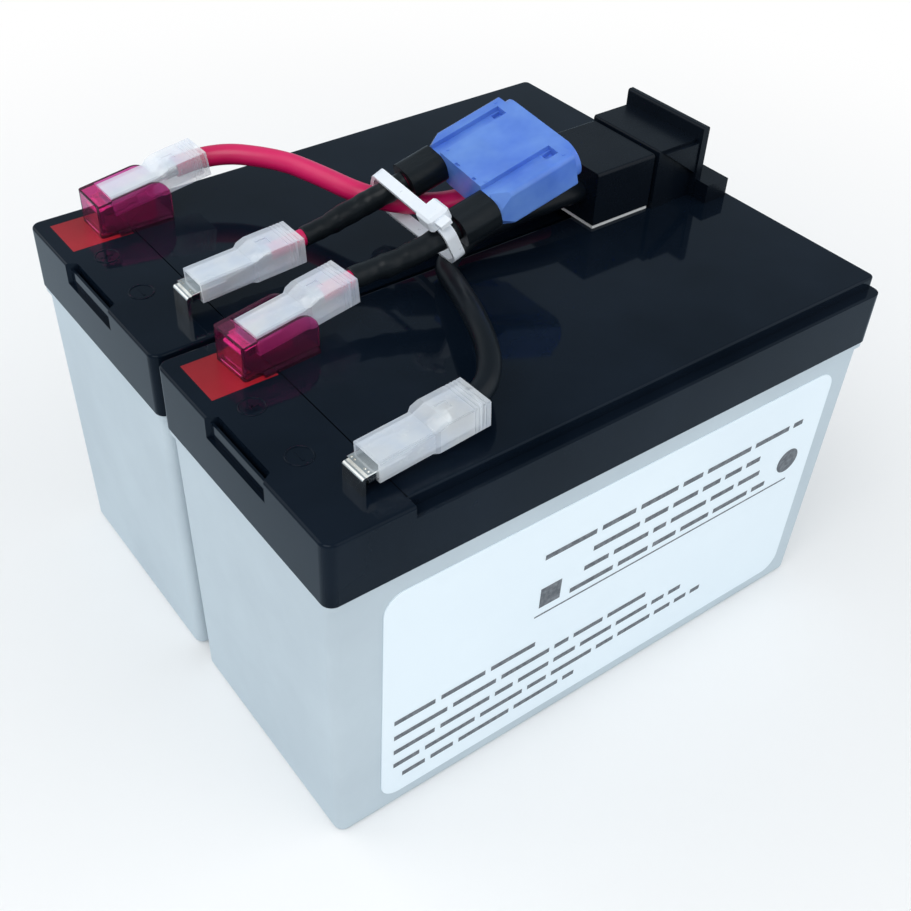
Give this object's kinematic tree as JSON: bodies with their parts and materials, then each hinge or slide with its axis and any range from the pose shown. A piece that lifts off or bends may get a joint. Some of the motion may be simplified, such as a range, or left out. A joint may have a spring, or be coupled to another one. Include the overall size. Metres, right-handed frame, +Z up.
{
  "type": "ups battery cartridge",
  "caption": "Twin sealed lead-acid battery pack with a fused wiring harness and a two-pole connector, to power an uninterruptible supply",
  "frame": {"origin": "on the ground, under the middle of the two batteries", "axes": "+X along the batteries towards the connector, terminals at -X; +Y towards the battery without the label; +Z up"},
  "size_m": [0.151, 0.1316, 0.1232],
  "materials": {
    "case_plastic": "light grey moulded ABS",
    "lid_plastic": "black moulded ABS, glossy",
    "valve_rubber": "soft black rubber",
    "lead_plates": "dull lead plates and separators",
    "lead_straps": "cast lead",
    "guard_plastic": "clear pink",
    "red_seal": "red resin",
    "black_seal": "black resin",
    "tinned_metal": "tin-plated brass",
    "boot_plastic": "milky clear nylon",
    "fuse_plastic": "clear blue",
    "black_sleeve": "black shrink sleeve",
    "red_insulation": "red insulation, satin",
    "black_insulation": "black insulation, satin",
    "connector_plastic": "black, satin",
    "contact_metal": "silver-plated copper",
    "white_foam": "white foam",
    "tie_nylon": "natural nylon",
    "label_film": "pale printed film",
    "grey_foam": "closed-cell foam tape"
  },
  "bodies": {
    "root": {"front_case": "case_plastic", "front_lid": "lid_plastic", "front_vent_cover": "lid_plastic", "front_valve_caps": "valve_rubber", "front_plate_stacks": "lead_plates", "front_cell_straps": "lead_straps", "front_terminal_guard": "guard_plastic", "front_positive_seal": "red_seal", "front_positive_tab": "tinned_metal", "front_positive_receptacle": "tinned_metal", "front_positive_boot": "boot_plastic", "front_negative_seal": "black_seal", "front_negative_tab": "tinned_metal", "front_negative_receptacle": "tinned_metal", "front_negative_boot": "boot_plastic", "back_case": "case_plastic", "back_lid": "lid_plastic", "back_vent_cover": "lid_plastic", "back_valve_caps": "valve_rubber", "back_plate_stacks": "lead_plates", "back_cell_straps": "lead_straps", "back_terminal_guard": "guard_plastic", "back_positive_seal": "red_seal", "back_positive_tab": "tinned_metal", "back_positive_receptacle": "tinned_metal", "back_positive_boot": "boot_plastic", "back_negative_seal": "black_seal", "back_negative_tab": "tinned_metal", "back_negative_receptacle": "tinned_metal", "back_negative_boot": "boot_plastic", "fuse_body": "fuse_plastic", "fuse_element": "tinned_metal", "back_fuse_clip": "tinned_metal", "back_fuse_hood": "black_sleeve", "back_fuse_lead": "red_insulation", "back_lead_sleeve": "black_sleeve", "front_fuse_clip": "tinned_metal", "front_fuse_hood": "black_sleeve", "front_fuse_lead": "red_insulation", "front_lead_sleeve": "black_sleeve", "connector_cover": "connector_plastic", "connector_housing": "connector_plastic", "connector_contacts": "contact_metal", "connector_pad": "white_foam", "red_lead": "red_insulation", "black_lead": "black_insulation", "cable_tie": "tie_nylon", "side_label": "label_film", "foam_tape": "grey_foam"}
  },
  "joints": []
}
